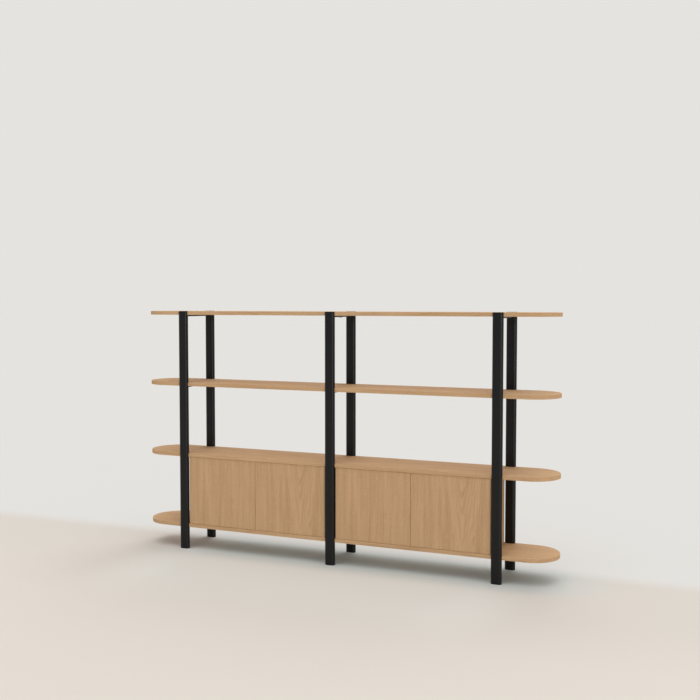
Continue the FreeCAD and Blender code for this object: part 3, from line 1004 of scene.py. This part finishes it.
@dataclass
class Boards:
    """Four round-ended boards, notched round the posts, with the coach screws that hold them."""

    notch_clearance: float = 0.0004
    edge_ease: float = 0.0006
    end_steps: int = 48
    notch_steps: int = 10
    screw_bite: float = 0.012
    head_height: float = 0.004
    head_flats: float = 0.010
    head_chamfer: float = 0.0008
    thread_pitch: float = 0.0022
    thread_depth: float = 0.0007
    screw_sides: int = 36
    screw_rings: int = 73
    plain_share: float = 0.3  # of the screw's length, above the thread
    runout_share: float = 0.1  # over which the thread begins
    point_power: int = 8
    point_least: float = 0.01  # keeps the point's last ring open
    cuts: dict[str, Cut] = field(default_factory=lambda: {
        "top": Cut((0.3, 0.05, 1.262)),
        "upper": Cut((1.9, -0.07, 0.905)),
        "lower": Cut((3.1, 0.09, 0.592)),
        "bottom": Cut((4.7, -0.03, 0.068)),
    })

    def front_edge(self, low: Vector, high: Vector) -> np.ndarray:
        """The front edge from left to right, turning in and out round each post.

        Each notch is the post's flat oval grown by the clearance, entered where that oval
        crosses the board's edge.

        Args:
            low, high: the board's corners.

        Returns:
            Plan points from the left end of the straight edge to its right end.
        """
        radius = (high.y - low.y) / 2
        runs = [np.array([[low.x + radius, low.y]])]
        for column in COLUMNS:
            centre, size = centre_and_size(f"post_front_{column}")
            bend = size.y / 2
            flat = size.x / 2 - bend
            around = bend + self.notch_clearance
            dip = math.asin((centre.y - low.y) / around)
            left, right = (centre.x - flat, centre.y), (centre.x + flat, centre.y)
            runs.append(arc(left, around, math.pi + dip, math.pi / 2, self.notch_steps))
            runs.append(arc(right, around, math.pi / 2, -dip, self.notch_steps))
        return np.concatenate(runs)

    def outline(self, low: Vector, high: Vector) -> np.ndarray:
        """The whole outline: the front edge and a half-round end, then both turned half a turn.

        Args:
            low, high: the board's corners.

        Returns:
            Its plan points.
        """
        radius = (high.y - low.y) / 2
        middle = (low.y + high.y) / 2
        end = arc((high.x - radius, middle), radius, -math.pi / 2, math.pi / 2, self.end_steps)
        half = np.concatenate([self.front_edge(low, high), end[:-1]])
        return np.concatenate([half, np.array([0.0, 2 * middle]) - half])

    def holes(self, level: str) -> list[Hole]:
        """The screw hole, slots and pockets that the fittings need in one board.

        Args:
            level: the board's name.

        Returns:
            Its holes.
        """
        holes = [Hole(disc((0.0, 0.0), JOINERY.screw_radius + FIT), self.screw_bite + HOLE_END_ROOM, False)]
        on_top = level == CABINET_FLOOR
        for place in DOOR_PLACES if level in (CABINET_FLOOR, CABINET_ROOF) else ():
            holes.append(JOINERY.slot(place, on_top))
            holes.append(Hole(JOINERY.bush(place, FIT), JOINERY.bush_depth + HOLE_END_ROOM, on_top))
        for bay in BAYS if level == CABINET_ROOF else ():
            mortise = oblong(middle_of(f"catch_housing_{bay}_bay"), JOINERY.peg_plan, JOINERY.corner, FIT)
            holes.append(Hole(mortise, JOINERY.peg_height + HOLE_END_ROOM, False))
        return holes

    def add_screw(self, shell: Shell, seat: float) -> None:
        """Adds a coach screw under a face; the radius follows its head's six flats, then the thread.

        A head's radius is flats / 2 over the cosine of the angle from the nearest flat, cut back
        to a circle at the chamfer. The thread's radius falls by a triangle wave of height over
        pitch less the angle's share of a turn.

        Args:
            shell: the screws in the making.
            seat: the height of the face under which the head sits.
        """
        angle = np.linspace(0, FULL_TURN, self.screw_sides, endpoint=False)
        sixth = FULL_TURN / 6
        hexagon = self.head_flats / 2 / np.cos((angle + sixth / 2) % sixth - sixth / 2)
        circle = np.full_like(angle, self.head_flats / 2 - self.head_chamfer / 4)
        bottom = seat - self.head_height
        heights = np.array([bottom, bottom + self.head_chamfer, seat])
        shell.add_round((0.0, 0.0), heights, np.stack([circle, hexagon, hexagon]))
        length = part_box("shelf_screws")[1].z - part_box(f"crossbar_top_{SCREWED_COLUMN}")[0].z
        rise = np.linspace(0, length, self.screw_rings)
        share = rise[:, None] / length
        wave = np.abs(2 * ((rise[:, None] / self.thread_pitch - angle / FULL_TURN) % 1) - 1)
        start = np.clip((share - self.plain_share) / self.runout_share, 0, 1)
        point = np.sqrt(np.clip(1 - share ** self.point_power, self.point_least, 1))
        radii = (JOINERY.screw_radius - self.thread_depth * wave * start) * point
        shell.add_round((0.0, 0.0), seat + rise, radii)

    def build(self, shop: Workshop) -> None:
        """Makes the boards, each cut from its own stretch of oak, and their screws.

        Args:
            shop: the finishes.
        """
        screws = Shell()
        for level in LEVELS:
            node = f"shelf_{level}"
            low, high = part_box(node)
            shell = Shell().add_slab(
                self.outline(low, high), low.z, high.z, self.edge_ease, *self.holes(level)
            )
            make_piece(f"{level}_board", shell, shop.timber(f"oak_{level}_board", self.cuts[level]), node)
            self.add_screw(screws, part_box(f"crossbar_{level}_{SCREWED_COLUMN}")[0].z)
        make_piece("coach_screws", screws, shop.zinc, "shelf_screws")


@dataclass
class Cabinets:
    """The side panels, backs, tongues and pivot bushes between the two lowest boards."""

    panel_ease: float = 0.0005
    groove_depth: float = 0.006
    groove_clearance: float = 0.00015
    bush_rim: float = 0.0008
    bush_ease: float = 0.0004
    pin_depth: float = 0.009
    running_clearance: float = 0.00005
    back_cut: Cut = Cut((-0.12, 0.2, 0.0), (0.0, 0.02))  # measured from the back's rear face
    side_cut: Cut = Cut((0.11, -0.04, 0.0), (0.015, 0.0))
    tongue_cut: Cut = Cut((0.0, 0.0, 0.0), (0.0, 0.0))

    def side_panel(self, place: str) -> Shell:
        """A side panel: its plan, notched by the back panel's groove, carried up from board to board.

        Args:
            place: which door it stands beside.

        Returns:
            The panel.
        """
        low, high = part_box(f"cabinet_side_{place}")
        back_low, back_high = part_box(f"cabinet_back_{place.rsplit('_', 1)[0]}")
        inward = 1 if back_low.x + back_high.x > low.x + high.x else -1
        inner = high.x if inward > 0 else low.x
        floor = inner - inward * (self.groove_depth + self.groove_clearance)
        front, rear = back_low.y - self.groove_clearance, back_high.y + self.groove_clearance
        groove = np.array([(inner, front), (floor, front), (floor, rear), (inner, rear)])
        corners = np.split(round_rectangle(low, high, CORNER_TO_EASE * self.panel_ease), 4)
        corners.insert(1 if inward > 0 else 3, groove[::inward])
        slots = (JOINERY.slot(place), JOINERY.slot(place, False))
        return Shell().add_slab(np.concatenate(corners), low.z, high.z, self.panel_ease, *slots)

    def faces(self) -> tuple[tuple[float, int], ...]:
        """The board faces below and above the cabinets, each with the way into its board."""
        return (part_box(f"shelf_{CABINET_FLOOR}")[1].z, -1), (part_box(f"shelf_{CABINET_ROOF}")[0].z, 1)

    def tongues(self) -> Shell:
        """Loose tongues with eased edges, half in a side panel and half in a board.

        Returns:
            All the tongues.
        """
        shell = Shell()
        reach = JOINERY.tongue_reach
        for place in DOOR_PLACES:
            for face, _ in self.faces():
                shell.add_slab(JOINERY.tongue(place), face - reach, face + reach, self.panel_ease)
        return shell

    def bushes(self) -> Shell:
        """Square bushes let into the boards, each bored for a pin from its proud rim.

        Returns:
            All the bushes.
        """
        shell = Shell()
        for place in DOOR_PLACES:
            bore = disc(middle_of(f"pivot_pins_{place}").xy, JOINERY.pin_radius + self.running_clearance)
            for face, inward in self.faces():
                span = sorted((face - inward * self.bush_rim, face + inward * JOINERY.bush_depth))
                hole = Hole(bore, self.bush_rim + self.pin_depth + HOLE_END_ROOM, inward < 0)
                shell.add_slab(JOINERY.bush(place), *span, self.bush_ease, hole)
        return shell

    def build(self, shop: Workshop) -> None:
        """Makes the cabinets' pieces.

        Args:
            shop: the finishes.
        """
        for bay in BAYS:
            node = f"cabinet_back_{bay}_bay"
            rear = (middle_of(node).x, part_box(node)[1].y)
            oak = shop.timber(f"oak_back_{bay}", self.back_cut, Grain.ALONG_Z, rear)
            make_piece(f"{bay}_cabinet_back", Shell().add_block(node, self.panel_ease), oak, node)
        for place in DOOR_PLACES:
            node = f"cabinet_side_{place}"
            oak = shop.timber(f"oak_side_{place}", self.side_cut, Grain.ALONG_Z, middle_of(node))
            make_piece(f"side_panel_{place}", self.side_panel(place), oak, node)
        oak = shop.timber("oak_tongues", self.tongue_cut)
        make_piece("loose_tongues", self.tongues(), oak, "cabinet_tongues")
        make_piece("pivot_blocks", self.bushes(), shop.nylon, "pivot_bushes")


@dataclass
class Catches:
    """The double touch catch over each pair of doors: a pegged housing and two magnet-tipped plungers."""

    corner: float = 0.0015
    ease: float = 0.0006
    bore_clearance: float = 0.0001
    travel: float = 0.003
    plunger_ease: float = 0.0009
    magnet_radius: float = 0.0027
    magnet_depth: float = 0.0012
    magnet_recess: float = 0.0002

    def housing(self, bay: str) -> Shell:
        """A housing with rounded edges and two square bores, and the peg on top of it.

        Args:
            bay: the side that it serves.

        Returns:
            The housing.
        """
        node = f"catch_housing_{bay}_bay"
        low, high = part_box(node)
        seat = high.z - JOINERY.peg_height
        bores = []
        for hand in HANDS:
            rod = f"catch_plunger_{bay}_bay_{hand}"
            centre, size = centre_and_size(rod)
            bore = oblong(centre.zx, size.zx, self.bore_clearance, self.bore_clearance)
            bores.append(Hole(bore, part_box(rod)[1].y + self.travel + HOLE_END_ROOM - low.y, False))
        body = round_rectangle((low.z, low.x), (seat, high.x), self.corner)
        peg = oblong(middle_of(node), JOINERY.peg_plan, CORNER_TO_EASE * self.ease)
        shell = Shell(Axis.Y).add_slab(body, low.y, high.y, self.ease, *bores)
        shell.axis = Axis.Z
        return shell.add_slab(peg, seat, high.z, self.ease)

    def plunger(self, node: str) -> Shell:
        """A square rod with rounded edges, recessed at its tip for a magnet."""
        recess = Hole(disc(middle_of(node).zx, self.magnet_radius + FIT), self.magnet_depth, False)
        return Shell(Axis.Y).add_block(node, self.plunger_ease, recess)

    def magnet(self, node: str) -> Shell:
        """The round magnet in a plunger's tip, set a little below its end.

        Args:
            node: the plunger's node.

        Returns:
            The magnet.
        """
        tip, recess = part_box(node)[0].y, self.magnet_recess
        outline = disc(middle_of(node).zx, self.magnet_radius)
        return Shell(Axis.Y).add_slab(outline, tip + recess, tip + self.magnet_depth, recess)

    def build(self, shop: Workshop) -> None:
        """Makes the catches' pieces.

        Args:
            shop: the finishes.
        """
        for bay in BAYS:
            make_piece(f"{bay}_catch", self.housing(bay), shop.plastic, f"catch_housing_{bay}_bay")
        for place in DOOR_PLACES:
            node, body = f"catch_plunger_{place}", f"plunger_{place}"
            make_piece(f"touch_rod_{place}", self.plunger(node), shop.nylon, node, body=body)
            make_piece(f"magnet_{place}", self.magnet(node), shop.zinc, body=body)


@dataclass
class Doors:
    """The four door leaves with their pivot pins and strike plates."""

    edge_ease: float = 0.0006
    pin_in_door: float = 0.020
    pin_ease: float = 0.0003
    pin_tip: float = 0.0008
    pin_tip_steps: int = 4
    pin_sides: int = 32
    plate_corner: float = 0.002
    plate_ease: float = 0.0003
    screw_spread: float = 0.0128
    screw_radius: float = 0.0016
    screw_sink: float = 0.0002
    screw_sides: int = 24
    recess_reach: float = 0.0009
    recess_arm: float = 0.00022
    recess_depth: float = 0.0006
    cuts: dict[str, Cut] = field(default_factory=lambda: {
        "left": Cut((-0.34, 0.16, 0.0), (0.006, 0.012)),
        "right": Cut((0.07, 0.11, -0.1), (0.035, 0.01)),
    })

    def shank(self, place: str, corner: float, clearance: float = 0.0) -> np.ndarray:
        """The square plan of a door's pins inside the door, or of their mortises."""
        side = 2 * JOINERY.pin_radius
        return oblong(middle_of(f"pivot_pins_{place}"), (side, side), corner, clearance)

    def leaf(self, place: str) -> Shell:
        """A door leaf with eased edges, mortised at both ends for the square shanks of its pins.

        Args:
            place: the door's place.

        Returns:
            The leaf.
        """
        mortise = self.shank(place, self.pin_ease, FIT)
        mortises = [Hole(mortise, self.pin_in_door + HOLE_END_ROOM, on_top) for on_top in (True, False)]
        return Shell().add_block(f"door_{place}", self.edge_ease, *mortises)

    def pins(self, place: str) -> Shell:
        """Two pins, square in the door and round beyond it, with a rounded tip.

        Args:
            place: the door's place.

        Returns:
            The pins.
        """
        low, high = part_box(f"pivot_pins_{place}")
        door_low, door_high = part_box(f"door_{place}")
        shank = self.shank(place, CORNER_TO_EASE * self.pin_ease)
        inset, rise = quarter_round(self.pin_tip, self.pin_tip_steps)
        radii = JOINERY.pin_radius - np.append(0.0, inset)
        shell = Shell()
        centre = middle_of(f"pivot_pins_{place}").xy
        for edge, tip, away in ((door_low.z, low.z, -1), (door_high.z, high.z, 1)):
            shell.add_slab(shank, *sorted((edge, edge - away * self.pin_in_door)), self.pin_ease)
            heights = np.append(edge, tip - away * (self.pin_tip - rise))
            shell.add_round(centre, heights, np.tile(radii[:, None], (1, self.pin_sides)))
        return shell

    def screw_places(self, place: str) -> list[Place]:
        """Where a strike plate's two screws stand, in (z, x)."""
        centre = middle_of(f"strike_plate_{place}")
        return [(centre.z, centre.x + side * self.screw_spread / 2) for side in (-1, 1)]

    def strike(self, place: str) -> Shell:
        """A thin plate with rounded corners and two screw holes.

        Args:
            place: the door's place.

        Returns:
            The plate.
        """
        low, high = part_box(f"strike_plate_{place}")
        discs = [disc(where, self.screw_radius + FIT, self.screw_sides) for where in self.screw_places(place)]
        outline = round_rectangle(low.zx, high.zx, self.plate_corner)
        return Shell(Axis.Y).add_slab(outline, low.y, high.y, self.plate_ease, *map(Hole, discs))

    def strike_screws(self, place: str) -> Shell:
        """The plate's two screw heads, each with a cross recess, sunk just below its face.

        Args:
            place: the door's place.

        Returns:
            The screw heads.
        """
        low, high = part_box(f"strike_plate_{place}")
        shell = Shell(Axis.Y)
        for where in self.screw_places(place):
            recess = Hole(cross(where, self.recess_reach, self.recess_arm), self.recess_depth)
            head = disc(where, self.screw_radius, self.screw_sides)
            shell.add_slab(head, low.y, high.y - self.screw_sink, self.plate_ease / 2, recess)
        return shell

    def build(self, shop: Workshop) -> None:
        """Makes the doors; the leaves of a hand are cut alike in both bays.

        Args:
            shop: the finishes.
        """
        for place in DOOR_PLACES:
            body, node = f"door_leaf_{place}", f"door_{place}"
            cut = self.cuts[place.rsplit("_", 1)[1]]
            oak = shop.timber(f"oak_door_{place}", cut, Grain.ALONG_Z, middle_of(node))
            make_piece(f"leaf_{place}", self.leaf(place), oak, node, body=body)
            for name, shell, nodes in (
                ("pins", self.pins(place), (f"pivot_pins_{place}",)),
                ("strike", self.strike(place), (f"strike_plate_{place}",)),
                ("strike_screws", self.strike_screws(place), ()),
            ):
                make_piece(f"{name}_{place}", shell, shop.zinc, *nodes, body=body)


# Studio


@dataclass(frozen=True)
class Lamp:
    """A wide soft light far off, placed by its turn to the right of the front and its height."""

    name: str
    strength: float
    turn_degrees: float
    height_degrees: float
    spread_degrees: float

    def on_floor(self) -> float:
        """How brightly it lights level ground, beside an even light of strength one."""
        return self.strength * math.sin(math.radians(self.height_degrees)) / math.pi

    def hang(self, colour: Triple) -> None:
        """Adds the light in a colour that all the lamps share.

        Args:
            colour: the lamps' colour.
        """
        light = bpy.data.lights.new(self.name, "SUN")
        light.energy = self.strength
        light.color = colour
        light.angle = math.radians(self.spread_degrees)
        tilt = math.radians(90 - self.height_degrees)
        add_object(self.name, light).rotation_euler = (tilt, 0.0, math.radians(self.turn_degrees))


@dataclass(frozen=True)
class PaintedShadingPatch:
    """A soft-edged patch of painted shading on the floor, whole up to its first place aside and ahead and
    gone at its second.
    """

    colour: Colour
    middle: float
    aside: Place
    ahead: Place

    def share(self, tree: NodeTree, across: Socket, along: Socket) -> Socket:
        """Adds the nodes that say how far a floor place belongs to the patch.

        Args:
            tree: the floor's node tree.
            across, along: the place's x and y.

        Returns:
            A share from 0 to 1.
        """
        off = tree.math("ABSOLUTE", tree.math("SUBTRACT", across, self.middle))
        beside = tree.span(off, *self.aside, 1.0, 0.0)
        return tree.math("MULTIPLY", beside, tree.span(along, *self.ahead[::-1]))


@dataclass
class Studio:
    """A pale floor, soft lights and the camera."""

    camera_place: Triple = (1.8928, -4.3298, 1.2640)
    camera_turn_degrees: float = 23.06
    camera_dip_degrees: float = 2.82
    focal_pixels: float = 965.58
    picture_pixels: float = 700.0
    sensor_width: float = 36.0
    floor_reach: float = 60.0
    behind_from: float = 0.05
    behind_to: float = 0.25
    far_from: float = 2.3
    far_to: float = 4.6
    backdrop: Colour = tint(229, 227, 223)
    floor_ahead: Colour = tint(218, 210, 199)
    painted_shading_patches: tuple[PaintedShadingPatch, ...] = (
        # painted shade: the whole floor a little darker towards the unit, fading out 1.1 m in front of it
        PaintedShadingPatch(tint(211, 204, 194), 0.0, (40.0, 50.0), (-0.3, -1.1)),
        # painted light: a paler, cooler patch in front of the unit that lifts the shadow the behind lamp
        # casts forward and cancels the warm light the oak throws on the floor
        PaintedShadingPatch(tint(229, 227, 219), 0.0, (0.7, 1.1), (-0.3, -1.1)),
        # painted shadow: a darker, cooler patch under the unit, set a little to the right
        PaintedShadingPatch(tint(196, 203, 199), 0.2, (0.7, 1.2), (-0.06, -0.3)),
    )
    # share of the backdrop's brightness that the faded floor gives off as its own glow: painted light that
    # also washes out the unit's shadow behind it
    own_glow: float = 0.5
    even_light: Triple = (0.378, 0.42, 0.486)
    lamp_colour: Triple = (1.05, 1.0, 0.948)
    lamps: tuple[Lamp, ...] = (
        Lamp("right", 0.3, 80.0, 42.0, 40.0),
        Lamp("window", 0.55, 52.0, 4.0, 12.0),
        Lamp("front", 0.56, -10.0, 57.0, 50.0),
        Lamp("overhead", 0.8, 0.0, 85.0, 50.0),
        Lamp("behind", 1.1, 180.0, 45.0, 60.0),
    )

    def camera(self) -> None:
        """Sets the camera at the photographed viewing angle."""
        lens = bpy.data.cameras.new("photo_camera")
        lens.sensor_width = self.sensor_width
        lens.lens = self.focal_pixels / self.picture_pixels * self.sensor_width
        camera = add_object("photo_camera", lens)
        camera.location = self.camera_place
        dip = math.radians(90 - self.camera_dip_degrees)
        camera.rotation_euler = (dip, 0.0, math.radians(self.camera_turn_degrees))
        bpy.context.scene.camera = camera

    def floor(self) -> None:
        """Lays a wide floor that fades into the backdrop's colour behind the unit and far from it.

        Towards the unit it is painted a little darker, a painted shade. In front of it a paler, cooler
        patch is painted light that lifts the shadow cast forward by the behind lamp and cancels the
        warm light that oak throws on it, and under it a darker, cooler patch is a painted shadow.
        """
        reach = self.floor_reach
        corners = [(-reach, -reach, 0), (reach, -reach, 0), (reach, reach, 0), (-reach, reach, 0)]
        mesh = bpy.data.meshes.new("studio_floor")
        mesh.from_pydata(corners, [], [(0, 1, 2, 3)])
        material = bpy.data.materials.new("pale_floor")
        material.use_nodes = True
        tree = NodeTree(material.node_tree)
        across, along, _ = tree.parts(tree.place())
        near = self.floor_ahead
        # lays the painted shade, painted light and painted shadow patches over the floor's own colour
        for patch in self.painted_shading_patches:
            near = tree.mix(patch.share(tree, across, along), near, patch.colour)
        off = tree.math("MAXIMUM", tree.math("ABSOLUTE", across), tree.math("ABSOLUTE", along))
        far = tree.span(off, self.far_from, self.far_to)
        share = tree.math("MAXIMUM", tree.span(along, self.behind_from, self.behind_to), far)
        glow = (*[part * self.own_glow for part in self.backdrop[:3]], 1.0)
        tree.feed(material.node_tree.nodes["Principled BSDF"], {
            "Base Color": tree.mix(share, near, self.floor_behind()), "Roughness": 1.0,
            "Specular IOR Level": 0.0, "Emission Strength": 1.0,
            "Emission Color": tree.mix(share, (0.0, 0.0, 0.0, 1.0), glow),
        })
        mesh.materials.append(material)
        add_object("studio_floor", mesh)

    def floor_behind(self) -> Colour:
        """The floor colour that looks just like the backdrop under all the lights and its own glow.

        Returns:
            The colour.
        """
        lamps = np.array(self.lamp_colour) * sum(lamp.on_floor() for lamp in self.lamps)
        behind = np.array(self.backdrop[:3]) * (1 - self.own_glow) / (np.array(self.even_light) + lamps)
        return (*[float(part) for part in behind], 1.0)

    def surroundings(self) -> None:
        """Sets an even light from all round, with a plain backdrop of its own for the camera."""
        world = bpy.data.worlds.new("studio")
        world.use_nodes = True
        tree = NodeTree(world.node_tree)
        even = world.node_tree.nodes["Background"]
        tree.feed(even, {"Color": (*self.even_light, 1.0)})
        seen = tree.add("ShaderNodeBackground", {"Color": self.backdrop})
        for_camera = tree.add("ShaderNodeLightPath").outputs["Is Camera Ray"]
        choice = tree.add("ShaderNodeMixShader", {0: for_camera, 1: even.outputs[0], 2: seen.outputs[0]})
        tree.feed(world.node_tree.nodes["World Output"], {"Surface": choice.outputs[0]})
        bpy.context.scene.world = world

    def build(self) -> None:
        """Sets up the studio."""
        bpy.context.scene.view_settings.view_transform = "Standard"
        self.camera()
        self.floor()
        self.surroundings()
        for lamp in self.lamps:
            lamp.hang(self.lamp_colour)


def main() -> None:
    """Builds the studio and dresses every sub-assembly in turn."""
    logging.basicConfig(level=logging.INFO, format="%(message)s")
    Studio().build()
    shop = Workshop()
    for assembly in (LadderFrames(), Boards(), Cabinets(), Catches(), Doors()):
        assembly.build(shop)
    bpy.context.view_layer.update()


if __name__ == "__main__":
    main()
